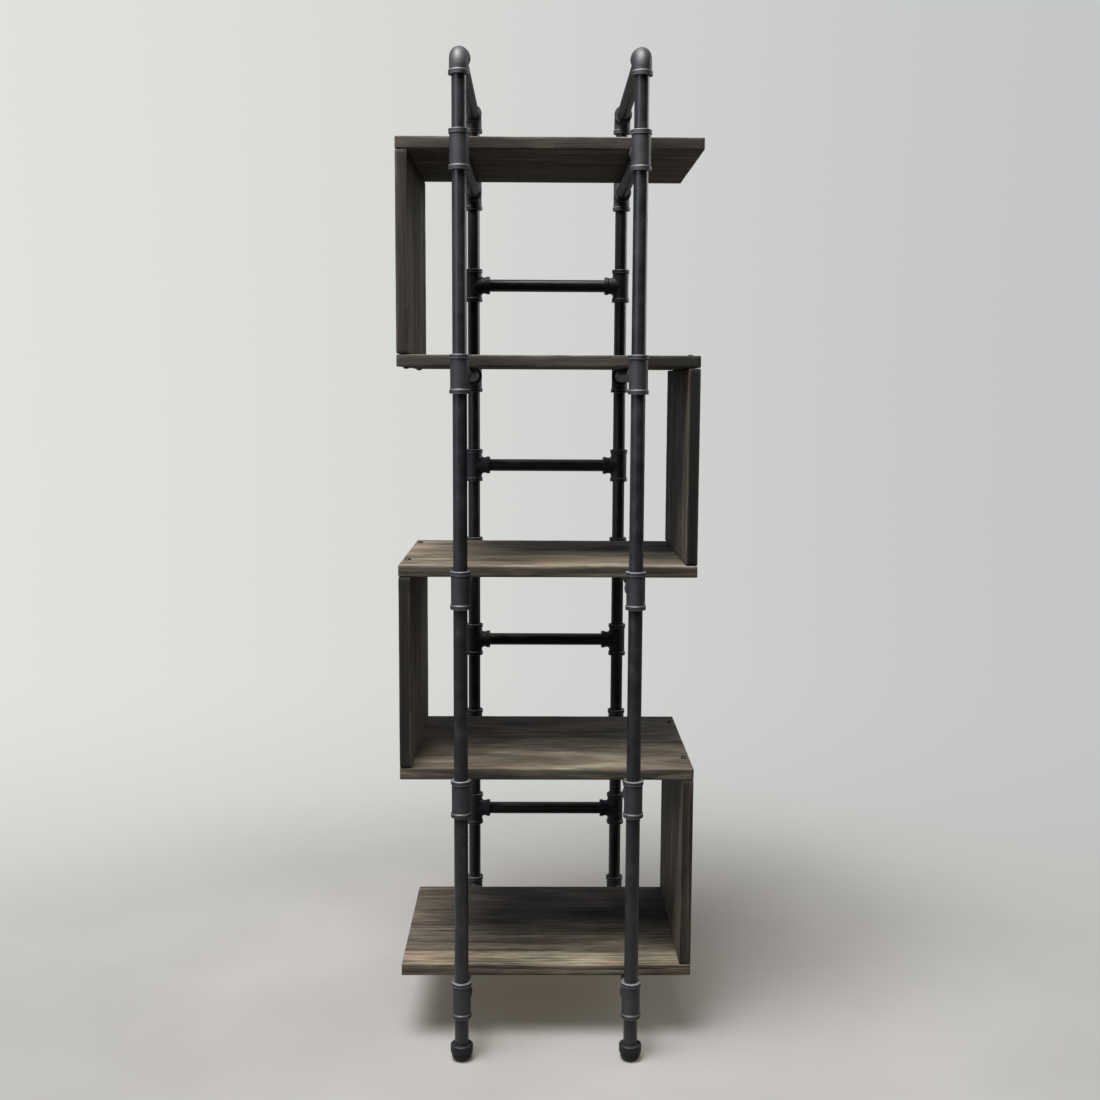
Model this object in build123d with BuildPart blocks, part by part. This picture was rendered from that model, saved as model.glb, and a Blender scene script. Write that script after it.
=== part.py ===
"""Bookcase with a zigzag of boards carried by a frame of screwed black pipe.

Two side frames stand on round foot caps.  Each has a front and a rear upright, joined
front to rear by a bracket pipe under every shelf and by a rail at the top.  Crossbars
join the two rear uprights halfway between the shelves.  The five shelves lie on the
bracket pipes, and a side board between each pair of shelves, left and right in turn,
is screwed to both of them through the shelf.

Frame: origin on the floor in the middle of the four feet, +X to the right, +Y to the
back, +Z up.  Millimetres.
"""
import os

from build123d import *

# ---------------------------------------------------------------- driving dimensions
# Boards
shelf_count = 5
shelf_width = 457.0
shelf_depth = 340.0
board_thickness = 19.0
arris_radius = 1.0  # rounding of every board edge

# Half-inch nominal steel pipe
pipe_od = 21.3
pipe_wall = 2.8
pipe_end_chamfer = 0.6

# Layout of the pipe frame
tee_pitch = 317.5  # height from one shelf tee to the next
upright_spacing = 260.0  # left upright axis to right upright axis
upright_gap = 58.0  # edge of a shelf to the upright axis before or behind it
foot_nipple_length = 70.0
top_nipple_length = 101.5

# Malleable iron tees and elbows
thread_clearance = 0.1  # radial, pipe in socket
socket_depth = 13.5
fitting_wall = 3.25
band_proud = 1.3  # the band round each mouth stands out from the body by this
band_width = 6.0
band_slope = 1.4  # length over which the body rises to the band
band_round = 0.6
inner_bend = 1.0  # bend radius on the inside of an elbow
elbow_straight = 0.02  # straight run between an elbow's bend and each of its arms
crotch_radius = 4.0  # blend between the run and the branch of a tee
waterway_radius = 8.2

# Foot caps
cap_floor = 12.5
cap_wall = 6.5
cap_band_width = 13.0
cap_step = 1.9  # the domed end is smaller than the band by this, on the radius
cap_flat_radius = 9.5
cap_dome_rise = 9.0
cap_round = 2.0

# Wood screws, domed head with a cross recess
screw_length = 38.0
screw_radius = 2.1
screw_tip = 5.0
screw_tip_radius = 0.4
screw_head_radius = 4.8
screw_head_height = 2.4
screw_head_rim = 0.6
screw_crown_radius = 1.2  # the dome of the head ends on a flat this big
screw_clearance = 0.1
recess_width = 1.1
recess_length = 4.8
recess_depth = 1.3
screw_from_front = 64.0
screw_from_back = 44.0
pilot_extra = 1.5  # the hole in a side board runs past the screw tip by this

# ---------------------------------------------------------------- worked-out sizes
socket_radius = pipe_od / 2 + thread_clearance
body_radius = socket_radius + fitting_wall
band_radius = body_radius + band_proud
bend_radius = body_radius + inner_bend
seat = bend_radius  # centre of a fitting to the pipe end inside it
reach = seat + socket_depth  # centre of a fitting to the face of a mouth
cap_radius = socket_radius + cap_wall
cap_height = cap_floor + socket_depth

left_x, right_x = -upright_spacing / 2, upright_spacing / 2
front_y = -(shelf_depth / 2 + upright_gap)
rear_y = -front_y
levels = range(1, shelf_count + 1)  # level 1 is the top shelf
bays = range(1, shelf_count)  # bay n lies between shelf n and shelf n + 1

lowest_tee_z = cap_floor + foot_nipple_length + seat
tee_z = {n: lowest_tee_z + (shelf_count - n) * tee_pitch for n in levels}
crossbar_z = {n: tee_z[n] - tee_pitch / 2 for n in bays}
elbow_z = tee_z[1] + top_nipple_length + 2 * seat

shelf_bottom_z = {n: tee_z[n] + pipe_od / 2 for n in levels}
side_board_height = tee_pitch - board_thickness
riser_length = tee_pitch - 2 * seat
rear_riser_length = tee_pitch / 2 - 2 * seat
bracket_length = rear_y - front_y - 2 * seat
crossbar_length = upright_spacing - 2 * seat

UP, DOWN = Vector(0, 0, 1), Vector(0, 0, -1)
LEFT, RIGHT = Vector(-1, 0, 0), Vector(1, 0, 0)
FORWARD, BACK = Vector(0, -1, 0), Vector(0, 1, 0)
sides = {"left": (left_x, RIGHT), "right": (right_x, LEFT)}  # upright X and inward way
rows = {"front": (front_y, BACK), "rear": (rear_y, FORWARD)}  # upright Y and inward way
BOTTOM = (Align.CENTER, Align.CENTER, Align.MIN)


# ---------------------------------------------------------------- pipes
def pipe(start, out, length):
    """A length of pipe from its start point, running the way `out` points."""
    with BuildPart(Plane(origin=start, z_dir=out)) as tube:
        Cylinder(pipe_od / 2, length, align=BOTTOM)
        chamfer(tube.edges(), pipe_end_chamfer)
        Cylinder(pipe_od / 2 - pipe_wall, length, align=BOTTOM, mode=Mode.SUBTRACT)
    return tube.part


# ---------------------------------------------------------------- fittings
def arm_plane(out):
    """The plane of an arm's half section: its X is the radius, its Y runs out."""
    side = RIGHT if abs(out.X) < 0.5 else UP
    return Plane(origin=(0, 0, 0), x_dir=side, z_dir=side.cross(out))


def arm_outline(start):
    """Half section of a solid arm from `start` out to its mouth, with its band."""
    return [
        (0, start),
        (body_radius, start),
        (body_radius, reach - band_width - band_slope),
        (band_radius, reach - band_width),
        (band_radius, reach),
        (0, reach),
    ]


socket_outline = [(0, seat), (socket_radius, seat), (socket_radius, reach), (0, reach)]


def round_bands(fitting):
    """Round both edges of each mouth's band, in the fitting being built."""
    rims = fitting.edges().filter_by(GeomType.CIRCLE)
    fillet(rims.filter_by(lambda rim: abs(rim.radius - band_radius) < 0.01), band_round)


def tee():
    """A tee at the origin: the run stands along Z and the branch points along +X."""
    with BuildPart() as fitting:
        for out in (UP, DOWN, RIGHT):
            with BuildSketch(arm_plane(out)):
                with BuildLine():
                    Polyline(*arm_outline(0), close=True)
                make_face()
            revolve(axis=Axis((0, 0, 0), out))
        crotch = fitting.edges().filter_by(GeomType.ELLIPSE)
        fillet(crotch, crotch_radius)
        round_bands(fitting)
        Cylinder(waterway_radius, 2 * reach, mode=Mode.SUBTRACT)
        with BuildSketch(Plane.YZ):
            Circle(waterway_radius)
        extrude(amount=reach, mode=Mode.SUBTRACT)
        for out in (UP, DOWN, RIGHT):
            with BuildSketch(arm_plane(out)):
                with BuildLine():
                    Polyline(*socket_outline, close=True)
                make_face()
            revolve(axis=Axis((0, 0, 0), out), mode=Mode.SUBTRACT)
    return fitting.part


def elbow():
    """A 90 degree elbow at the origin: one mouth faces down, the other along +X."""
    with BuildPart() as fitting:
        with BuildLine(Plane.XZ) as bend:
            corner_radius = bend_radius - elbow_straight
            FilletPolyline((0, -seat), (0, 0), (seat, 0), radius=corner_radius)
        with BuildSketch(Plane(origin=(0, 0, -seat), z_dir=UP)):
            Circle(body_radius)
        sweep(path=bend.line)
        for out in (DOWN, RIGHT):
            with BuildSketch(arm_plane(out)):
                with BuildLine():
                    Polyline(*arm_outline(seat), close=True)
                make_face()
            revolve(axis=Axis((0, 0, 0), out))
        round_bands(fitting)
        with BuildSketch(Plane(origin=(0, 0, -seat), z_dir=UP)):
            Circle(waterway_radius)
        sweep(path=bend.line, mode=Mode.SUBTRACT)
        for out in (DOWN, RIGHT):
            with BuildSketch(arm_plane(out)):
                with BuildLine():
                    Polyline(*socket_outline, close=True)
                make_face()
            revolve(axis=Axis((0, 0, 0), out), mode=Mode.SUBTRACT)
    return fitting.part


def turned(x, y, z, branch):
    """Where a fitting made at the origin goes, with its branch turned from +X."""
    return Location((x, y, z), (0, 0, RIGHT.get_signed_angle(branch, UP)))


def foot_cap():
    """A foot cap at the origin: domed end down on a flat, wide band round its mouth."""
    dome_radius = cap_radius - cap_step
    band_bottom = cap_height - cap_band_width
    with BuildPart() as cap:
        with BuildSketch(Plane.XZ):
            with BuildLine():
                Line((0, 0), (cap_flat_radius, 0))
                RadiusArc(
                    (cap_flat_radius, 0), (dome_radius, cap_dome_rise), -cap_dome_rise
                )
                Polyline(
                    (dome_radius, cap_dome_rise),
                    (dome_radius, band_bottom - cap_step / 2),
                    (cap_radius, band_bottom + cap_step / 2),
                    (cap_radius, cap_height),
                    (socket_radius, cap_height),
                    (socket_radius, cap_floor),
                    (0, cap_floor),
                    (0, 0),
                )
            make_face()
        revolve(axis=Axis.Z)
        mouth_rims = cap.edges().filter_by(GeomType.CIRCLE).group_by(Axis.Z)[-1]
        fillet(mouth_rims.sort_by(SortBy.RADIUS)[-1], cap_round)
    return cap.part


# ---------------------------------------------------------------- boards and screws
def side_of_bay(bay):
    """Which way the side board of a bay lies: -1 left, +1 right, left at the top."""
    return -1 if bay % 2 else 1


def board(width, height, bottom_z, centre_x=0.0):
    """A board as deep as the shelves, with every edge slightly rounded."""
    with BuildPart(Plane.XY.offset(bottom_z)) as plank:
        with Locations((centre_x, 0)):
            Box(width, shelf_depth, height, align=BOTTOM)
        fillet(plank.edges(), arris_radius)
    return plank.part


screw_x = shelf_width / 2 - board_thickness / 2
screw_y = (-shelf_depth / 2 + screw_from_front, shelf_depth / 2 - screw_from_back)
hole_radius = screw_radius + screw_clearance
pilot_depth = screw_length - board_thickness + pilot_extra


def screw():
    """A screw with its head's seat at the origin and its point straight down."""
    with BuildPart() as body:
        with BuildSketch(Plane.XZ):
            with BuildLine():
                Polyline(
                    (screw_crown_radius, screw_head_height),
                    (0, screw_head_height),
                    (0, -screw_length),
                    (screw_tip_radius, -screw_length),
                    (screw_radius, -screw_length + screw_tip),
                    (screw_radius, 0),
                    (screw_head_radius, 0),
                    (screw_head_radius, screw_head_rim),
                )
                TangentArc(
                    (screw_crown_radius, screw_head_height),
                    (screw_head_radius, screw_head_rim),
                    tangent=(1, 0),
                )
            make_face()
        revolve(axis=Axis.Z)
        with BuildSketch(Plane.XY.offset(screw_head_height)):
            Rectangle(recess_length, recess_width)
            Rectangle(recess_width, recess_length)
        extrude(amount=-recess_depth, mode=Mode.SUBTRACT)
    return body.part


# ================================================================ the pieces
os.makedirs("parts", exist_ok=True)

# ---- shelves, each with a screw hole for every side board that it meets
for level in levels:
    with BuildPart() as shelf:
        add(board(shelf_width, board_thickness, shelf_bottom_z[level]))
        shelf_top_z = shelf_bottom_z[level] + board_thickness
        for bay in (level - 1, level):
            if bay in bays:
                x = side_of_bay(bay) * screw_x
                with Locations(*[(x, y, shelf_top_z) for y in screw_y]):
                    Hole(hole_radius, depth=board_thickness)
    shelf.part.label = f"shelf_{level}"
    export_step(shelf.part, f"parts/shelf_{level}.step")

# ---- side boards, each with pilot holes in its top and bottom ends
for bay in bays:
    bottom_z = shelf_bottom_z[bay + 1] + board_thickness
    x = side_of_bay(bay) * screw_x
    with BuildPart() as side_board:
        add(board(board_thickness, side_board_height, bottom_z, x))
        for y in screw_y:
            with Locations((x, y, bottom_z), (x, y, bottom_z + side_board_height - pilot_depth)):
                Cylinder(hole_radius, pilot_depth, align=BOTTOM, mode=Mode.SUBTRACT)
    side_board.part.label = f"side_board_{bay}"
    export_step(side_board.part, f"parts/side_board_{bay}.step")

# ---- screws: down through the shelf above each side board, up through the one below
screw_places = []
for bay in bays:
    x = side_of_bay(bay) * screw_x
    for y in screw_y:
        screw_places.append(Location((x, y, shelf_bottom_z[bay] + board_thickness)))
        screw_places.append(Location((x, y, shelf_bottom_z[bay + 1]), (180, 0, 0)))
screw_body = screw()
with BuildPart() as board_screws:
    with Locations(*screw_places):
        add(screw_body)
board_screws.part.label = "board_screws"
export_step(board_screws.part, "parts/board_screws.step")

# ---- bracket pipes under the shelves, and the rail between each pair of elbows
for side, (x, _) in sides.items():
    for level in levels:
        with BuildPart() as bracket:
            add(pipe((x, front_y + seat, tee_z[level]), BACK, bracket_length))
        bracket.part.label = f"bracket_{side}_{level}"
        export_step(bracket.part, f"parts/bracket_{side}_{level}.step")
    with BuildPart() as top_rail:
        add(pipe((x, front_y + seat, elbow_z), BACK, bracket_length))
    top_rail.part.label = f"top_rail_{side}"
    export_step(top_rail.part, f"parts/top_rail_{side}.step")

# ---- crossbars between the rear uprights
for bay in bays:
    with BuildPart() as crossbar:
        add(pipe((left_x + seat, rear_y, crossbar_z[bay]), RIGHT, crossbar_length))
    crossbar.part.label = f"crossbar_{bay}"
    export_step(crossbar.part, f"parts/crossbar_{bay}.step")

# ---- tees: one at each shelf on every upright, one at each crossbar on the rear ones
tee_body = tee()
for side, (x, inward) in sides.items():
    for row, (y, across) in rows.items():
        with BuildPart() as shelf_tees:
            with Locations(*[turned(x, y, tee_z[level], across) for level in levels]):
                add(tee_body)
        shelf_tees.part.label = f"shelf_tees_{row}_{side}"
        export_step(shelf_tees.part, f"parts/shelf_tees_{row}_{side}.step")
    with BuildPart() as crossbar_tees:
        with Locations(*[turned(x, rear_y, crossbar_z[bay], inward) for bay in bays]):
            add(tee_body)
    crossbar_tees.part.label = f"crossbar_tees_{side}"
    export_step(crossbar_tees.part, f"parts/crossbar_tees_{side}.step")

# ---- risers: front ones run from tee to tee, rear ones stop at each crossbar tee
for side, (x, _) in sides.items():
    for bay in bays:
        with BuildPart() as riser:
            add(pipe((x, front_y, tee_z[bay + 1] + seat), UP, riser_length))
        riser.part.label = f"riser_front_{side}_{bay}"
        export_step(riser.part, f"parts/riser_front_{side}_{bay}.step")
    with BuildPart() as rear_risers:
        for bay in bays:
            add(pipe((x, rear_y, tee_z[bay + 1] + seat), UP, rear_riser_length))
            add(pipe((x, rear_y, crossbar_z[bay] + seat), UP, rear_riser_length))
    rear_risers.part.label = f"risers_rear_{side}"
    export_step(rear_risers.part, f"parts/risers_rear_{side}.step")

# ---- both ends of each upright: foot cap and nipple below, nipple and elbow above
cap_body = foot_cap()
elbow_body = elbow()
for side, (x, _) in sides.items():
    for row, (y, across) in rows.items():
        with BuildPart() as cap:
            with Locations((x, y, 0)):
                add(cap_body)
        cap.part.label = f"foot_cap_{row}_{side}"
        export_step(cap.part, f"parts/foot_cap_{row}_{side}.step")

        with BuildPart() as foot_nipple:
            add(pipe((x, y, cap_floor), UP, foot_nipple_length))
        foot_nipple.part.label = f"foot_nipple_{row}_{side}"
        export_step(foot_nipple.part, f"parts/foot_nipple_{row}_{side}.step")

        with BuildPart() as top_nipple:
            add(pipe((x, y, tee_z[1] + seat), UP, top_nipple_length))
        top_nipple.part.label = f"top_nipple_{row}_{side}"
        export_step(top_nipple.part, f"parts/top_nipple_{row}_{side}.step")

        with BuildPart() as corner:
            with Locations(turned(x, y, elbow_z, across)):
                add(elbow_body)
        corner.part.label = f"elbow_{row}_{side}"
        export_step(corner.part, f"parts/elbow_{row}_{side}.step")

print("height", round(elbow_z + body_radius, 1), "levels", tee_z)
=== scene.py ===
# %% [markdown]
# # Pipe shelf bookcase
#
# A tall open bookcase: two side frames of half-inch black steel pipe, screwed into
# malleable-iron fittings, carry five stained boards, and a side board between each pair
# of shelves turns them into a zigzag. The exact shapes of the pipes, fittings and screws
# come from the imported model, which is loaded here as a fixed frame in metres. This file
# gives every surface its finish, and replaces the plain boards with worn ones.

# %% Load the frame
import math

import bpy
import numpy as np
from mathutils import Matrix, Vector


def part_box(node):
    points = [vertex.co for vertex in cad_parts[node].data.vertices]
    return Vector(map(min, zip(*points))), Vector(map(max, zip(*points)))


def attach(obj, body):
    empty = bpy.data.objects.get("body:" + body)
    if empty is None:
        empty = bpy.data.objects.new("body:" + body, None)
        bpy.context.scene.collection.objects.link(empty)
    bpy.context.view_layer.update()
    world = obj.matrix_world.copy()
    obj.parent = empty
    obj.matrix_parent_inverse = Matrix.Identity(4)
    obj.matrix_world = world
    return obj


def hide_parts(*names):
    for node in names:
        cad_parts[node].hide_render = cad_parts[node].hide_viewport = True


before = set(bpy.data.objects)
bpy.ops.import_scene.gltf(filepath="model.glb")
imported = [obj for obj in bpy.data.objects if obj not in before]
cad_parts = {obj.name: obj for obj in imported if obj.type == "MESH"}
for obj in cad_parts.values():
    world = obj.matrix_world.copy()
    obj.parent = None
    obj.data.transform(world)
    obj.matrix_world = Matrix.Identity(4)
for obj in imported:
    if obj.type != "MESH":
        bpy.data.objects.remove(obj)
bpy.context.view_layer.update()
MM = 0.001

# %% [markdown]
# ## Sizes read from the frame
#
# The wear on the fittings has to follow their rims, so two sizes are needed: how far one
# tee stands above the next, and how far a tee reaches from its middle to its mouth. They
# could be typed in, but then the wear would slip off its place when the model changes, so
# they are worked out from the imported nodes. A rear upright has a tee at each shelf and one
# for a crossbar halfway between two shelves. Its shelf tees span a whole number of those
# steps and the height of one more tee, which is twice its reach.

# %% Read the sizes
thin_low, thin_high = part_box("shelf_1")
tees_low, tees_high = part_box("shelf_tees_rear_left")
tee_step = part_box("crossbar_tees_left")[0].z - tees_low.z
fitting_reach = (tees_high.z - tees_low.z) % tee_step / 2
print("boards are", round((thin_high.z - thin_low.z) / MM, 1), "mm thick")
print("tees stand", round(tee_step / MM, 2), "mm apart")
print("fittings reach", round(fitting_reach / MM, 2), "mm from their middles")

# %% [markdown]
# ## The camera
#
# The bookcase is seen from the front at about two thirds of its height, from a little
# over two metres, looking slightly down. The camera could be aimed at a point with a
# constraint, but a fixed place and three turns are easier to repeat exactly. A camera
# looks along its own -Z axis, so it is pitched up from straight down, turned a little to
# the right, and rolled very slightly.

# %% Place the camera
camera_place = Vector((-0.0182, -2.2339, 1.0355))
camera_pitch = math.radians(6.90)
camera_turn = math.radians(0.59)
camera_roll = math.radians(0.275)
camera_data = bpy.data.cameras.new("camera")
camera_data.sensor_width = 36.0
camera_data.lens = 44.77
camera = bpy.data.objects.new("camera", camera_data)
bpy.context.scene.collection.objects.link(camera)
camera.matrix_world = (
    Matrix.Translation(camera_place)
    @ Matrix.Rotation(-camera_turn, 4, "Z")
    @ Matrix.Rotation(math.pi / 2 - camera_pitch, 4, "X")
    @ Matrix.Rotation(camera_roll, 4, "Z")
)
bpy.context.scene.camera = camera
bpy.context.scene.view_settings.view_transform = "Standard"
print("camera at", [round(v, 3) for v in camera_place])

# %% [markdown]
# ## Helpers for colour and nodes
#
# Colours are written the way a paint chart gives them, as sRGB hex values, and one
# function turns them to the linear values that shaders use. One more function adds a
# shader node with its settings and links, so that each material reads as a short recipe.
# Several sockets of a Mix node share a name, and only the ones in use are enabled, so
# the function picks the first enabled socket of the name it is given. The inputs of a
# Math node all have the same name, so they are given by number.


# %% Colour and node helpers
def linear(hex_colour):
    """A hex colour as linear red, green, blue and alpha."""
    parts = [int(hex_colour[i : i + 2], 16) / 255 for i in (1, 3, 5)]
    return (*[c / 12.92 if c <= 0.04045 else ((c + 0.055) / 1.055) ** 2.4 for c in parts], 1.0)


def socket(sockets, name):
    """The socket in use that has this name."""
    return next(s for s in sockets if s.name == name and s.enabled)


def add_node(tree, kind, inputs, ramp=(), **settings):
    """Adds a shader node. An input given as (node, output name) becomes a link."""
    node = tree.nodes.new("ShaderNode" + kind)
    for name, value in settings.items():
        setattr(node, name, value)
    for name, value in inputs.items():
        target = node.inputs[name] if isinstance(name, int) else socket(node.inputs, name)
        if isinstance(value, tuple) and isinstance(value[0], bpy.types.Node):
            tree.links.new(socket(value[0].outputs, value[1]), target)
        else:
            target.default_value = value
    for index, (place, hex_colour) in enumerate(ramp):
        stops = node.color_ramp.elements
        stop = stops[index] if index < len(stops) else stops.new(1.0)
        stop.position = place
        stop.color = linear(hex_colour)
    return node


def new_material(name):
    """An empty node material, and its tree."""
    material = bpy.data.materials.new(name)
    material.use_nodes = True
    material.node_tree.nodes.clear()
    return material, material.node_tree


print("a mid grey is", [round(v, 3) for v in linear("#808080")[:3]], "in linear values")

# %% [markdown]
# ## The studio
#
# The floor is a wide pale disc that fades out into a pale background, so that no horizon
# shows. A background of one colour would look flat and light every side alike, so this
# one changes with the direction. Each range below goes from 0 to 1 as the direction turns
# one way, and its ends say where that change starts and stops.

# %% Directions of the background
world = bpy.data.worlds.new("studio")
bpy.context.scene.world = world
world.use_nodes = True
sky = world.node_tree
sky.nodes.clear()
way = add_node(sky, "TexCoord", {})
part = add_node(sky, "SeparateXYZ", {"Vector": (way, "Generated")})
outwards = add_node(sky, "Math", {0: (part, "X")}, operation="ABSOLUTE")
ranges = {
    "right": ((part, "X"), -0.45, 0.45),
    "back": ((part, "Y"), -0.9, 0.6),
    "top": ((part, "Z"), 0.5, 0.95),
    "side": ((outwards, "Value"), 0.35, 0.95),
    "wall": ((part, "Z"), -0.45, -0.2),
    "above floor": ((part, "Z"), -0.35, -0.05),
}
towards = {}
for name, (value, low, high) in ranges.items():
    inputs = {"Value": value, "From Min": low, "From Max": high}
    towards[name] = add_node(sky, "MapRange", inputs, interpolation_type="SMOOTHSTEP")
print("the background changes towards:", ", ".join(towards))

# %% [markdown]
# A bookcase like this stands close to a wall, which lies in its own shadow, and is lit
# from above and from the left. A wall could be modelled for that, but it would hide the
# back, so the background does its work. What is seen of it is bright, and the light that
# it casts is a second, darker set of colours: bright above and at the left, and dim in
# front, behind and at the right. This is what makes black pipe read as black, and leaves
# the backs of the shelves in shade. Each blend goes from a first colour to a second as
# one range goes from 0 to 1, and a later blend can use an earlier one as a colour.

# %% Background
blends = (
    ("seen wall", "right", "#E2E3DE", "#C4C6C6"),
    ("seen", "wall", "#BDBDB6", "seen wall"),
    ("front to back", "back", "#323336", "#626468"),
    ("sides", "right", "#B4B8BE", "#3A3B3E"),
    ("with sides", "side", "front to back", "sides"),
    ("with top", "top", "with sides", "#C6D0E6"),
    ("cast", "above floor", "#77756F", "with top"),
)
blended = {}
for name, direction, *ends in blends:
    first, second = [linear(e) if e[0] == "#" else (blended[e], "Result") for e in ends]
    inputs = {"Factor": (towards[direction], "Result"), "A": first, "B": second}
    blended[name] = add_node(sky, "Mix", inputs, data_type="RGBA")
glow_seen = add_node(sky, "Background", {"Color": (blended["seen"], "Result")})
glow_cast = add_node(sky, "Background", {"Color": (blended["cast"], "Result")})
ray = add_node(sky, "LightPath", {})
glow = add_node(
    sky,
    "MixShader",
    {0: (ray, "Is Camera Ray"), 1: (glow_cast, "Background"), 2: (glow_seen, "Background")},
)
add_node(sky, "OutputWorld", {"Surface": (glow, "Shader")})
print("background made with", len(sky.nodes), "nodes")

# %% [markdown]
# The floor is a plain painted one, a little cloudy. Its edge could be hidden by a curved
# sweep, but that has a front and a back. Here the paint is made see-through with distance
# from the middle instead, which looks the same from every side. A very faint warm glow
# stands for the light that a wall close behind would throw into the shadow under the
# lowest shelf.

# %% Floor
FLOOR_RADIUS = 6.0
FADE_START, FADE_END = 0.4, 1.5
CLOUDS_PER_METRE = 2.2
bpy.ops.mesh.primitive_circle_add(vertices=128, radius=FLOOR_RADIUS, fill_type="NGON")
floor = bpy.context.object
floor.name = "floor"
material, tree = new_material("matt painted floor")
place = add_node(tree, "TexCoord", {})
middle = add_node(tree, "VectorMath", {0: (place, "Object")}, operation="LENGTH")
fade = add_node(
    tree,
    "MapRange",
    {"Value": (middle, "Value"), "From Min": FADE_START, "From Max": FADE_END},
    interpolation_type="SMOOTHERSTEP",
)
clouds = add_node(
    tree, "TexNoise", {"Vector": (place, "Object"), "Scale": CLOUDS_PER_METRE, "Detail": 5.0}
)
tone = add_node(
    tree, "ValToRGB", {"Fac": (clouds, "Fac")}, ramp=[(0.35, "#585857"), (0.65, "#606060")]
)
paint = add_node(
    tree,
    "BsdfPrincipled",
    {
        "Base Color": (tone, "Color"),
        "Roughness": 0.75,
        "Emission Color": linear("#BBAE92"),
        "Emission Strength": 0.17,
    },
)
nothing = add_node(tree, "BsdfTransparent", {})
edge = add_node(
    tree, "MixShader", {0: (fade, "Result"), 1: (paint, "BSDF"), 2: (nothing, "BSDF")}
)
add_node(tree, "OutputMaterial", {"Surface": (edge, "Shader")})
floor.data.materials.append(material)
print("the floor fades out", FADE_END, "m from the middle")

# %% [markdown]
# The main light is a wide panel high up in front and a little to the left: it lights the
# front of each shelf and leaves the back in the shade of the one above. A weak panel at
# the left, a little higher than the bookcase, puts the soft line on each pipe, and another
# from behind keeps the back from going flat. Small lamps would be simpler, but they draw
# hard shadows and pinpoint glints.

# %% Lights
MIDDLE_OF_CASE = Vector((0, 0, 0.8))
panels = {  # place, size in metres, power in watts, colour
    "ceiling_panel": ((-1.1, -1.6, 5.4), 2.8, 1250, "#FFFDFA"),
    "left_panel": ((-2.3, -2.3, 1.9), 1.3, 32, "#E2EAFF"),
    "back_panel": ((2.9, 1.6, 1.9), 1.8, 55, "#FFFFFF"),
}
for name, (place, size, power, colour) in panels.items():
    data = bpy.data.lights.new(name, "AREA")
    data.shape = "SQUARE"
    data.size = size
    data.energy = power
    data.color = linear(colour)[:3]
    lamp = bpy.data.objects.new(name, data)
    bpy.context.scene.collection.objects.link(lamp)
    turn = (MIDDLE_OF_CASE - Vector(place)).to_track_quat("-Z", "Y")
    lamp.matrix_world = Matrix.Translation(place) @ turn.to_matrix().to_4x4()
print(len(panels), "light panels placed")

# %% [markdown]
# ## The boards
#
# Each board is a wide plank about 19 mm thick with a rough-sawn, weathered face and
# slightly battered arrises. A box with a bevel would look new, so the plank starts as a
# cube, gets its rounded arrises from the bevel operator, and is then cut into a fine
# grid that can be pushed about. Loop cut needs a window, but subdividing only the edges
# that run one way does the same work: done once along each axis, it makes the grid.

# %% Cutting a plank into a grid
ARRIS_ROUND = 1.6 * MM
LONG_EDGE = 3 * ARRIS_ROUND  # the edges inside the rounding are shorter than this
STRAIGHT = 0.001 * MM  # an edge that strays less than this runs along an axis
GRID_STEP = 5.0 * MM


def points_of(mesh):
    """The places of a mesh's vertices, one row each."""
    points = np.empty(len(mesh.vertices) * 3)
    mesh.vertices.foreach_get("co", points)
    return points.reshape(-1, 3)


def cut_across(piece, axis, cuts):
    """Cuts every long edge that runs along an axis into cuts + 1 parts."""
    bpy.ops.object.mode_set(mode="EDIT")
    bpy.ops.mesh.select_mode(type="EDGE")
    bpy.ops.mesh.select_all(action="DESELECT")
    bpy.ops.object.mode_set(mode="OBJECT")
    points = points_of(piece.data)
    ends = np.empty(len(piece.data.edges) * 2, dtype=int)
    piece.data.edges.foreach_get("vertices", ends)
    spans = np.abs(points[ends[1::2]] - points[ends[::2]])
    along = np.delete(spans, axis, axis=1).max(axis=1) < STRAIGHT
    piece.data.edges.foreach_set("select", along & (spans[:, axis] > LONG_EDGE))
    bpy.ops.object.mode_set(mode="EDIT")
    bpy.ops.mesh.subdivide(number_cuts=cuts)
    bpy.ops.object.mode_set(mode="OBJECT")


print("planks are cut every", round(GRID_STEP / MM, 1), "mm")

# %% [markdown]
# Two displacements work on that grid: a long gentle one for the unevenness of the faces,
# and a short strong one, only along the arrises, for the nicks. Both push the surface
# inwards only, because their middle level is 1, so the plank stays inside the space that
# its solid has. The texture is read through the coordinates of an empty that is scaled
# to the length of a wave, which stretches the waves along the grain.

# %% Pushing the faces and arrises in
FACE_RELIEF = 0.5 * MM
FACE_WAVE_ALONG, FACE_WAVE_ACROSS = 250 * MM, 50 * MM
NICK_DEPTH = 1.0 * MM
NICK_ALONG, NICK_ACROSS = 30 * MM, 8 * MM
NICK_CONTRAST = 1.6
face_waves = bpy.data.textures.new("face_waves", "CLOUDS")
face_waves.noise_scale = 1.0
nick_waves = bpy.data.textures.new("nick_waves", "CLOUDS")
nick_waves.noise_scale = 1.0
nick_waves.contrast = NICK_CONTRAST


def push_in(piece, texture, depth, stretch, group=""):
    """Pushes a piece in along its normals by up to depth, by a stretched texture."""
    guide = bpy.data.objects.new("guide", None)
    bpy.context.scene.collection.objects.link(guide)
    guide.matrix_world = Matrix.Diagonal((*stretch, 1.0))
    bpy.context.view_layer.update()
    push = piece.modifiers.new("push", "DISPLACE")
    push.texture = texture
    push.texture_coords = "OBJECT"
    push.texture_coords_object = guide
    push.mid_level = 1.0
    push.strength = depth
    push.vertex_group = group
    bpy.ops.object.modifier_apply(modifier=push.name)
    bpy.data.objects.remove(guide)


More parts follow.
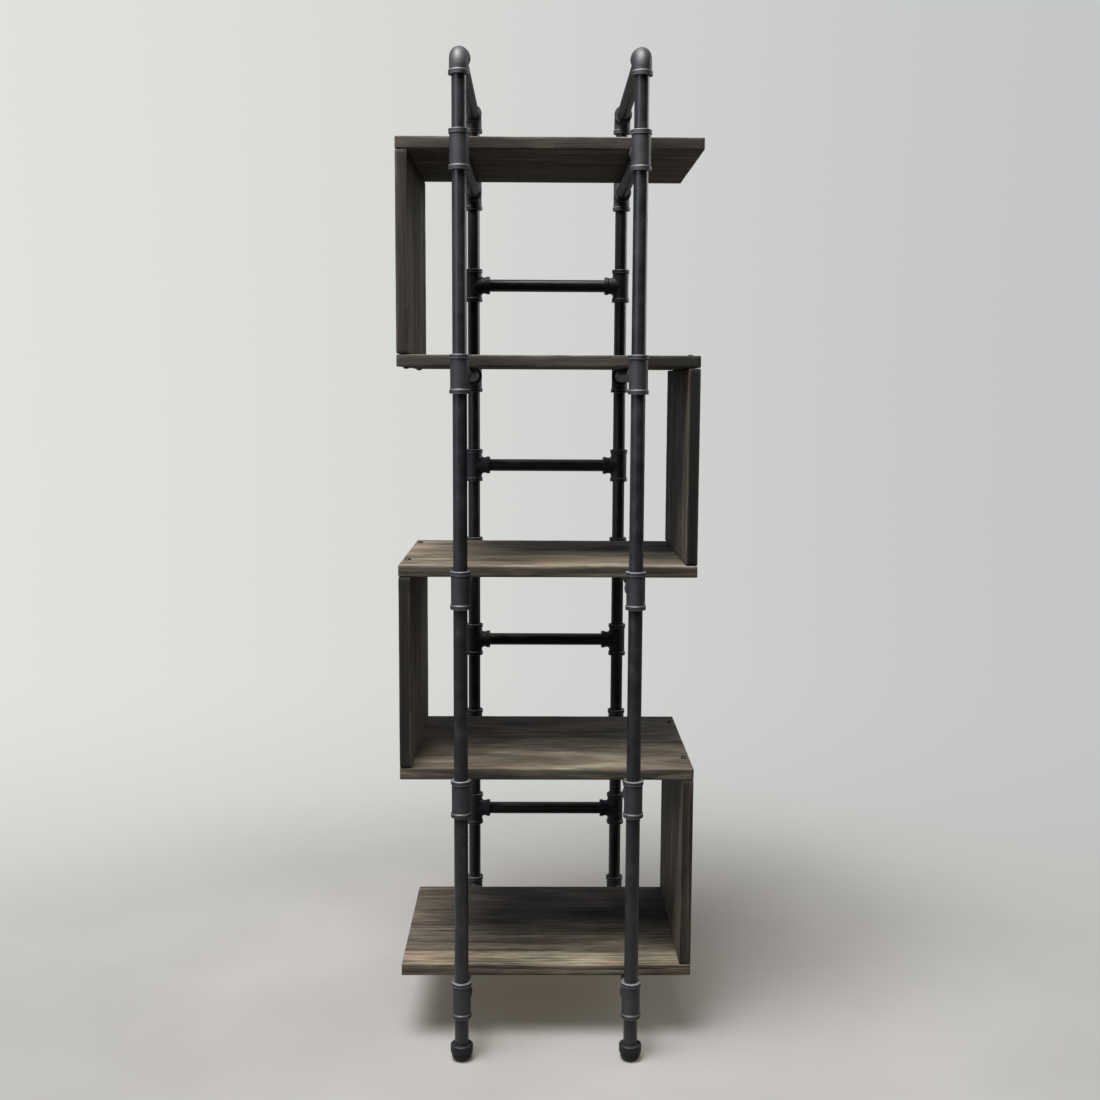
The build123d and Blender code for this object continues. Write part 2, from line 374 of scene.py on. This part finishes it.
print("faces are uneven by up to", FACE_RELIEF / MM, "mm, nicks are up to", NICK_DEPTH / MM, "mm")

# %% [markdown]
# The grain has to run along each board's length, and every board has to be cut from a
# different part of the tree. Object coordinates alone would give all the boards one
# pattern, so each vertex carries three things of its own as attributes. The first, grain,
# is its place in an imaginary log: X runs up the tree, and Y and Z cross it. The second,
# arris, says how near it lies to an edge of the board. The third, tone, says how light
# the stain is there, with painted light and shade worked in. Each broad face has the tone
# of its glued staves, and the sawn edges, which drink more stain, have a tone of their own,
# which also paints the shade that falls on the board fronts.

# %% What each point of a board knows
NEAR_ARRIS = 3.5 * MM
# Over this depth from a broad face the edge tone takes over: soaked stain, and painted shade on the
# board fronts.
SOAK_AND_SHADE_DEPTH = 2.5 * MM


def nearness_to_arris(points, low, high):
    """1 on an arris of the box, falling to 0 inside: it goes by the second nearest face."""
    gaps = np.minimum(points - np.array(low), np.array(high) - points)
    second = np.sort(gaps, axis=1)[:, 1]
    return np.clip(1.0 - second / NEAR_ARRIS, 0.0, 1.0)


def tone_of_stain_and_shade(points, low, high, staves, edge_stain_and_shade):
    """The tone of each point, stain and painted light and shade together. A stave is its distance
    from the front and its tone.
    """
    tone = np.zeros(len(points))
    for start, stave_stain_and_light in staves:
        tone[points[:, 1] - low.y >= start] = stave_stain_and_light
    through = min(range(3), key=lambda axis: high[axis] - low[axis])
    depth = np.minimum(points[:, through] - low[through], high[through] - points[:, through])
    return tone + np.clip(depth / SOAK_AND_SHADE_DEPTH, 0, 1) * (edge_stain_and_shade - tone)


def write_attribute(mesh, name, values):
    """Stores one number, or one vector, for each vertex."""
    kind, field = ("FLOAT", "value") if values.ndim == 1 else ("FLOAT_VECTOR", "vector")
    mesh.attributes.new(name, kind, "POINT")
    mesh.attributes[name].data.foreach_set(field, values.ravel())


print("stain soaks", SOAK_AND_SHADE_DEPTH / MM, "mm round the edge of a board")

# %% [markdown]
# ## Weathered, dark-stained oak
#
# The boards are a coarse open-grained wood, brushed, stained dark grey-brown and waxed.
# The stain sinks into the soft early wood and leaves the hard late wood paler, so the
# surface is streaked along the grain; a few open checks show nearly black, and the
# arrises are rubbed back to a pale grey, which is also a painted highlight along them.
# The wax gives a weak satin sheen that shows most when one looks along the board.
#
# A flat pattern laid on each face would break at the arrises. This one is solid: rings
# round the pith of the imaginary log, plus noise that is stretched many times along the
# tree. It runs through the board, so the ends show ring arcs and the streaks on the top
# meet the ones on the front edge.

# %% Marks in the wood
FLAT_SPREAD = 2.0  # marks are this much wider across the broad face than through it
RING_SPACING = 7.0 * MM
RING_TAPER = 0.12  # how fast the rings change up the tree, against 1 across it
WAVE_TURNS = 20.0  # the Wave texture runs this many radians per metre at a scale of 1
mark_sizes = {  # length, width, detail, and a shift that keeps the marks apart
    "streaks": (260 * MM, 3.2 * MM, 6.0, 0.0),
    "fibres": (34 * MM, 0.7 * MM, 4.0, 3.1),  # coarser than real fibres, which wouldn't show
    "checks": (110 * MM, 0.9 * MM, 2.0, 7.7),
    "patches": (170 * MM, 20 * MM, 3.0, 11.3),
    "hues": (170 * MM, 20 * MM, 2.0, 17.9),
}

weathered_oak, tree = new_material("dark stained brushed oak")
log = add_node(tree, "Attribute", {}, attribute_name="grain")
marks = {}
for name, (length, width, detail, shift) in mark_sizes.items():
    scale = (1 / length, 1 / width / FLAT_SPREAD, 1 / width)
    stretched = {"Vector": (log, "Vector"), "Scale": scale, "Location": (shift, 0, 0)}
    mapping = add_node(tree, "Mapping", stretched)
    inputs = {"Vector": (mapping, "Vector"), "Scale": 1.0, "Detail": detail, "Roughness": 0.65}
    marks[name] = add_node(tree, "TexNoise", inputs)
slow = add_node(tree, "Mapping", {"Vector": (log, "Vector"), "Scale": (RING_TAPER, 1.0, 1.0)})
marks["rings"] = add_node(
    tree,
    "TexWave",
    {
        "Vector": (slow, "Vector"),
        "Scale": 2 * math.pi / RING_SPACING / WAVE_TURNS,
        "Distortion": 9.0,
        "Detail": 2.0,
        "Detail Scale": 0.35,
    },
    wave_type="RINGS",
    rings_direction="X",
    wave_profile="SAW",
)
print("the wood has", len(marks), "kinds of marks")

# %% [markdown]
# The marks are added up, each with its own share, into one grey figure, and a colour ramp
# turns that into the stain's shades, from nearly black to a pale grey-brown. Colouring
# each kind of mark by itself would need a mix for each, and the shades would drift apart.
# A slower pattern then shifts the hue a little towards green, ochre or pink, as old stain
# does.

# %% Shades of the stain
shares = {"streaks": 0.22, "fibres": 0.38, "rings": 0.10, "patches": 0.46}
total = 0.0
for name, share in shares.items():
    inputs = {0: (marks[name], "Fac"), 1: share, 2: total}
    figure = add_node(tree, "Math", inputs, operation="MULTIPLY_ADD")
    total = (figure, "Value")
stain = add_node(
    tree,
    "ValToRGB",
    {"Fac": (figure, "Value")},
    ramp=[(0.44, "#1E1B16"), (0.54, "#3D382F"), (0.64, "#605B53"), (0.77, "#8C877F")],
)
warm_or_cool = add_node(
    tree,
    "ValToRGB",
    {"Fac": (marks["hues"], "Fac")},
    ramp=[(0.34, "#D0D3C6"), (0.46, "#DAD5C8"), (0.56, "#E2D2C2"), (0.68, "#D8CFCE")],
)
tinted = add_node(
    tree,
    "Mix",
    {"Factor": 1.0, "A": (stain, "Color"), "B": (warm_or_cool, "Color")},
    data_type="RGBA",
    blend_type="MULTIPLY",
)
print("stain made, its shares add up to", round(sum(shares.values()), 2))

# %% [markdown]
# Three things are laid over the stain in turn: the open checks, which are nearly black,
# the tone of the stave or of the sawn edge, which darkens or lightens everything in it and
# also paints light and shade, and last the rubbed arrises, pale as wear and as a painted
# highlight. Rubbing starts where the wood stands proudest, so the streaks decide how far
# it has gone, and its edge comes out ragged.

# %% Checks, stave tones with painted light and shade, and rubbed arrises
open_checks = add_node(
    tree,
    "MapRange",
    {
        "Value": (marks["checks"], "Fac"),
        "From Min": 0.35,
        "From Max": 0.41,
        "To Min": 0.7,
        "To Max": 0.0,
    },
)
checked = add_node(
    tree,
    "Mix",
    {"Factor": (open_checks, "Result"), "A": (tinted, "Result"), "B": linear("#13100E")},
    data_type="RGBA",
)
# The tone is stain and painted light and shade together: a paler lit stave on one shelf, and darker
# board fronts in shade.
stain_and_shade_tone = add_node(tree, "Attribute", {}, attribute_name="tone")
stained = add_node(
    tree,
    "Mix",
    {"Factor": 1.0, "A": (checked, "Result"), "B": (stain_and_shade_tone, "Fac")},
    data_type="RGBA",
    blend_type="MULTIPLY",
)
# The pale rub along the arrises is wear, and also a painted highlight on them.
near_arris = add_node(tree, "Attribute", {}, attribute_name="arris")
streaky_arris = {0: (marks["streaks"], "Fac"), 1: 0.9, 2: (near_arris, "Fac")}
arris_rub_and_highlight = add_node(tree, "Math", streaky_arris, operation="MULTIPLY_ADD")
rubbed_and_lit = add_node(
    tree,
    "MapRange",
    {"Value": (arris_rub_and_highlight, "Value"), "From Min": 1.25, "From Max": 1.5, "To Max": 0.7},
)
wood_colour = add_node(
    tree,
    "Mix",
    {"Factor": (rubbed_and_lit, "Result"), "A": (stained, "Result"), "B": linear("#989083")},
    data_type="RGBA",
)
print("wood colour made with", len(tree.nodes), "nodes so far")

# %% [markdown]
# Brushing has worn the soft wood away between the fibres, and the pale, hard ridges that
# stand proud are the ones that the wax polishes.

# %% Relief and sheen of the wood
sheen = add_node(
    tree,
    "MapRange",
    {
        "Value": (figure, "Value"),
        "From Min": 0.47,
        "From Max": 0.77,
        "To Min": 0.72,
        "To Max": 0.56,
    },
)
ridged = {0: (marks["fibres"], "Fac"), 1: 0.35, 2: (figure, "Value")}
ridges = add_node(tree, "Math", ridged, operation="MULTIPLY_ADD")
cut = {0: (ridges, "Value"), 1: (open_checks, "Result")}
relief = add_node(tree, "Math", cut, operation="SUBTRACT")
brushed = add_node(
    tree, "Bump", {"Height": (relief, "Value"), "Strength": 0.5, "Distance": 0.8 * MM}
)
shader = add_node(
    tree,
    "BsdfPrincipled",
    {
        "Base Color": (wood_colour, "Result"),
        "Roughness": (sheen, "Result"),
        "Specular IOR Level": 0.24,
        "Normal": (brushed, "Normal"),
    },
)
add_node(tree, "OutputMaterial", {"Surface": (shader, "BSDF")})
print("stained oak made with", len(tree.nodes), "nodes")

# %% [markdown]
# ## Making a worn board
#
# The steps come together here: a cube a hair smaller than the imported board, bevelled, cut
# into the grid, given its attributes while it is still square, and then pushed in. The
# attributes could be read off the worn surface instead, but distances to the arrises are
# cleaner on a square plank, and a dent presses the figure in with it, as in real wood.


# %% One worn board
FACE_SLACK = 0.15 * MM


def make_board(name, low, high, along, log_place, staves, edge_stain_and_shade):
    """A worn plank in the box from low to high, with its grain along an axis."""
    centre = (low + high) / 2
    size = (high - low) - Vector((2 * FACE_SLACK,) * 3)
    bpy.ops.object.select_all(action="DESELECT")
    bpy.ops.mesh.primitive_cube_add(size=1.0, location=centre, scale=size)
    plank = bpy.context.object
    plank.name = name
    bpy.ops.object.transform_apply(location=True, rotation=True, scale=True)
    bpy.ops.object.mode_set(mode="EDIT")
    bpy.ops.mesh.select_all(action="SELECT")
    bpy.ops.mesh.bevel(offset=ARRIS_ROUND, segments=3, affect="EDGES")
    bpy.ops.object.mode_set(mode="OBJECT")
    for axis in range(3):
        cut_across(plank, axis, max(2, round(size[axis] / GRID_STEP)))
    bpy.ops.object.shade_smooth()

    points = points_of(plank.data)
    near = nearness_to_arris(points, low, high)
    log_axes = [along, 1, 2 - along]
    grain = (points - np.array(centre))[:, log_axes] + np.array(log_place)
    tone = tone_of_stain_and_shade(points, low, high, staves, edge_stain_and_shade)
    write_attribute(plank.data, "grain", grain)
    write_attribute(plank.data, "arris", near)
    write_attribute(plank.data, "tone", tone)

    arrises = plank.vertex_groups.new(name="arrises")
    for index, weight in enumerate(near):
        arrises.add([index], float(weight) ** 2, "REPLACE")
    waves = [FACE_WAVE_ACROSS] * 3
    waves[along] = FACE_WAVE_ALONG
    push_in(plank, face_waves, FACE_RELIEF, waves)
    nicks = [NICK_ACROSS] * 3
    nicks[along] = NICK_ALONG
    push_in(plank, nick_waves, NICK_DEPTH, nicks, "arrises")
    plank.data.materials.append(weathered_oak)
    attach(plank, "root")
    return plank


print("a worn board is", FACE_SLACK / MM, "mm smaller all round than the packed one")

# %% [markdown]
# ## The nine boards
#
# The shelves lie with their grain from left to right, and the side boards stand with
# theirs upright. One board could be copied nine times, but the eye finds a repeated
# figure at once, so each gets its own place in the log: how far up the tree, and how far
# to one side of the pith and above it. Each also has the tones of its staves and of its
# edges, set partly as stain and partly as painted light and shade: the shelf edges lighter
# lower down, the side board edges darker. The lowest shelf has a paler stave, 51 mm wide,
# glued along its front, whose paleness also paints the light on the front of that shelf,
# and the one above it has a darker one, 96 mm wide.

# %% Make the boards
ALONG_SHELF, ALONG_SIDE_BOARD = 0, 2
# The tones are partly stain and partly painted light and shade.
boards = {  # place in the log, (start, tone) of each stave, tone of the edges
    "shelf_1": ((0.7, 0.03, 0.060), [(0, 1.05)], 0.3),
    "shelf_2": ((2.9, -0.05, 0.045), [(0, 1.0)], 0.27),
    "shelf_3": ((5.2, 0.06, 0.075), [(0, 1.25)], 0.45),
    "shelf_4": ((7.6, -0.02, 0.050), [(0, 1.0), (96 * MM, 1.15)], 0.64),
    "shelf_5": ((9.9, 0.09, 0.065), [(0, 1.45), (51 * MM, 0.64)], 0.9),
    "side_board_1": ((12.3, 0.05, 0.055), [(0, 1.05)], 0.12),
    "side_board_2": ((14.8, -0.07, 0.080), [(0, 0.9)], 0.03),
    "side_board_3": ((17.1, 0.02, 0.045), [(0, 0.8)], 0.08),
    "side_board_4": ((19.4, -0.04, 0.070), [(0, 0.8)], 0.30),
}
for name, (log_place, staves, edge_stain_and_shade) in boards.items():
    low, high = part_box(name)
    along = ALONG_SHELF if name.startswith("shelf") else ALONG_SIDE_BOARD
    plank = make_board(f"worn_{name}", low, high, along, log_place, staves, edge_stain_and_shade)
    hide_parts(name)
print(len(boards), "boards made, the last with", len(plank.data.polygons), "faces")

# %% [markdown]
# ## Black lacquered steel pipe
#
# Half-inch water pipe, cleaned and sprayed satin black. The lacquer follows the faint
# scale and roller marks of the pipe, so its gloss is uneven. One grey value for the gloss
# would look like plastic, so two noises are used: a mottle a few centimetres long in
# colour and gloss, and a fine orange peel in the bump.

# %% Pipe material
PEEL_SIZE = 1.5 * MM
MOTTLE_SIZE = 22 * MM
MOTTLE_STOPS = (0.3, 0.55, 0.75)  # where the mottle is dark, middling and pale
pipe_lacquer, tree = new_material("satin black lacquer on steel pipe")
place = add_node(tree, "TexCoord", {})
mottle = add_node(
    tree, "TexNoise", {"Vector": (place, "Object"), "Scale": 1 / MOTTLE_SIZE, "Detail": 4.0}
)
peel = add_node(
    tree, "TexNoise", {"Vector": (place, "Object"), "Scale": 1 / PEEL_SIZE, "Detail": 2.0}
)
pipe_colour = add_node(
    tree,
    "ValToRGB",
    {"Fac": (mottle, "Fac")},
    ramp=zip(MOTTLE_STOPS, ("#0D0E0F", "#131416", "#1D1E20")),
)
pipe_gloss = add_node(
    tree,
    "MapRange",
    {"Value": (mottle, "Fac"), "From Min": 0.3, "From Max": 0.7, "To Min": 0.34, "To Max": 0.46},
)
pipe_bump = add_node(
    tree, "Bump", {"Height": (peel, "Fac"), "Strength": 0.12, "Distance": 0.25 * MM}
)
shader = add_node(
    tree,
    "BsdfPrincipled",
    {
        "Base Color": (pipe_colour, "Color"),
        "Roughness": (pipe_gloss, "Result"),
        "Specular IOR Level": 0.4,
        "Normal": (pipe_bump, "Normal"),
    },
)
add_node(tree, "OutputMaterial", {"Surface": (shader, "BSDF")})
print("pipe lacquer made with", len(tree.nodes), "nodes")

# %% [markdown]
# ## Black malleable iron
#
# The tees, elbows and caps are sand castings, sprayed with the same black. The casting
# skin shows through as a fine grain, and where wrenches and other parts have rubbed the
# rims of the bands, bare iron shows as a thin silvery line. Pointiness is the usual way
# to find worn edges, but it needs joined faces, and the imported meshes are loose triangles.
# The rims lie at two fixed heights above and below the middle of every fitting, and the
# tees stand at an even pitch, so the height in the frame, wrapped to one pitch, is enough
# to find them. The grain of the skin makes the line ragged, and the mottle wears it more
# in some places than in others.

# %% Bare rims
SAND_GRAIN = 1.2 * MM  # drawn coarser than real casting sand, which wouldn't show
RAGGED = 0.5 * MM
RIM_HALF_WIDTH = 0.35 * MM
OUTER_RIM = fitting_reach - RIM_HALF_WIDTH
INNER_RIM = fitting_reach - 5.7 * MM  # just inside the edge of the 6 mm band


def bare_rims(tree, place, skin, mottle, middle, pitch):
    """How bare the iron is: most on the rims above and below the middle of a fitting."""
    part = add_node(tree, "SeparateXYZ", {"Vector": (place, "Object")})
    height = {0: (part, "Z"), 1: middle}
    above = add_node(tree, "Math", height, operation="SUBTRACT")
    one_pitch = {0: (above, "Value"), 1: pitch / 2, 2: -pitch / 2}
    wrapped = add_node(tree, "Math", one_pitch, operation="WRAP")
    away = add_node(tree, "Math", {0: (wrapped, "Value")}, operation="ABSOLUTE")
    torn = {0: (skin, "Fac"), 1: RAGGED, 2: (away, "Value")}
    rough_edge = add_node(tree, "Math", torn, operation="MULTIPLY_ADD")
    centred = {0: (rough_edge, "Value"), 1: RAGGED / 2}
    level = add_node(tree, "Math", centred, operation="SUBTRACT")
    rims = []
    for rim in (OUTER_RIM, INNER_RIM):
        near = {0: (level, "Value"), 1: rim, 2: RIM_HALF_WIDTH}
        rims.append((add_node(tree, "Math", near, operation="COMPARE"), "Value"))
    either = add_node(tree, "Math", dict(enumerate(rims)), operation="MAXIMUM")
    patchy = add_node(
        tree,
        "MapRange",
        {"Value": (mottle, "Fac"), "From Min": 0.3, "From Max": 0.55, "To Min": 0.1, "To Max": 0.6},
    )
    worn = {0: (either, "Value"), 1: (patchy, "Result")}
    return add_node(tree, "Math", worn, operation="MULTIPLY"), "Value"


print("rims lie", round(OUTER_RIM / MM, 2), "and", round(INNER_RIM / MM, 2), "mm from the middle")

# %% [markdown]
# The castings could have a material each, but they share one recipe. The tees and elbows
# have bare rims, and differ only in where their middles lie. The caps, down at the floor,
# are blacker and duller, and have no bare rims.


# %% Fitting materials
def malleable_iron(name, shades, shine, middle=None, pitch=None):
    """Sprayed black cast iron, with bare rims if the middle of a fitting is given."""
    iron, tree = new_material(name)
    place = add_node(tree, "TexCoord", {})
    skin = add_node(
        tree, "TexNoise", {"Vector": (place, "Object"), "Scale": 1 / SAND_GRAIN, "Detail": 3.0}
    )
    mottle = add_node(
        tree, "TexNoise", {"Vector": (place, "Object"), "Scale": 1 / MOTTLE_SIZE, "Detail": 4.0}
    )
    ramp = zip(MOTTLE_STOPS, shades)
    sprayed = add_node(tree, "ValToRGB", {"Fac": (mottle, "Fac")}, ramp=ramp)
    colour, bare = (sprayed, "Color"), 0.0
    if middle is not None:
        bare = bare_rims(tree, place, skin, mottle, middle, pitch)
        mixed = {"Factor": bare, "A": colour, "B": linear("#8A8B90")}
        colour = (add_node(tree, "Mix", mixed, data_type="RGBA"), "Result")
    iron_gloss = add_node(
        tree,
        "MapRange",
        {"Value": (mottle, "Fac"), "From Min": 0.3, "From Max": 0.7, "To Min": 0.5, "To Max": 0.64},
    )
    iron_bump = add_node(
        tree, "Bump", {"Height": (skin, "Fac"), "Strength": 0.25, "Distance": 0.3 * MM}
    )
    shader = add_node(
        tree,
        "BsdfPrincipled",
        {
            "Base Color": colour,
            "Metallic": bare,
            "Roughness": (iron_gloss, "Result"),
            "Specular IOR Level": shine,
            "Normal": (iron_bump, "Normal"),
        },
    )
    add_node(tree, "OutputMaterial", {"Surface": (shader, "BSDF")})
    return iron


print("one recipe for castings, with skin grains", round(SAND_GRAIN / MM, 2), "mm long")

# %% [markdown]
# A fitting's middle is its own lowest point plus its reach, so it can be read from the
# frame. The elbows all lie at one height, so they need no pitch of their own: any one
# that is longer than a fitting keeps the wrapping out of the way.

# %% The three castings
BLACK_SHADES = ("#121315", "#191A1D", "#242528")
# The caps' shades are blacker than those of the other castings.
CAP_SHADES = ("#08080A", "#0C0C0E", "#131315")
ELBOW_PITCH = 1.0
lowest_tee = tees_low.z + fitting_reach
elbow_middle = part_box("elbow_front_left")[0].z + fitting_reach
tee_iron = malleable_iron(
    "black malleable iron tee casting",
    BLACK_SHADES,
    shine=0.4,
    middle=lowest_tee,
    pitch=tee_step,
)
elbow_iron = malleable_iron(
    "black malleable iron elbow casting",
    BLACK_SHADES,
    shine=0.4,
    middle=elbow_middle,
    pitch=ELBOW_PITCH,
)
cap_iron = malleable_iron("black malleable iron cap casting", CAP_SHADES, shine=0.25)
print("malleable iron made, lowest tee at", round(lowest_tee / MM, 1), "mm")

# %% [markdown]
# ## Blackened screws
#
# Steel wood screws with a black phosphate coating: fine matt crystals over metal, very
# dark. The crystals could have a bump as well, but the heads are small, so a noise in the
# colour is enough to break up the black.

# %% Screw material
CRYSTAL_SIZE = 0.8 * MM  # drawn coarser than real phosphate crystals, which wouldn't show
screw_black, tree = new_material("black phosphate on steel")
place = add_node(tree, "TexCoord", {})
crystals = add_node(
    tree, "TexNoise", {"Vector": (place, "Object"), "Scale": 1 / CRYSTAL_SIZE, "Detail": 2.0}
)
screw_colour = add_node(
    tree, "ValToRGB", {"Fac": (crystals, "Fac")}, ramp=[(0.35, "#0F0F10"), (0.7, "#242426")]
)
shader = add_node(
    tree,
    "BsdfPrincipled",
    {"Base Color": (screw_colour, "Color"), "Metallic": 0.6, "Roughness": 0.45},
)
add_node(tree, "OutputMaterial", {"Surface": (shader, "BSDF")})
print("screw black made with", len(tree.nodes), "nodes")

# %% [markdown]
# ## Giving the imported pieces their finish
#
# The pipes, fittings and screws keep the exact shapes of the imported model, so only their
# materials change. They could be picked one by one, but a node's name already says what
# it is made of. The plain boards are hidden now, so it makes no difference what they get.

# %% Finish the frame
for name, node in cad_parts.items():
    if "_tees_" in name:
        finish = tee_iron
    elif name.startswith("foot_cap"):
        finish = cap_iron
    elif name.startswith("elbow"):
        finish = elbow_iron
    elif name == "board_screws":
        finish = screw_black
    else:
        finish = pipe_lacquer
    node.data.materials.clear()
    node.data.materials.append(finish)
print(len(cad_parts), "packed pieces finished")
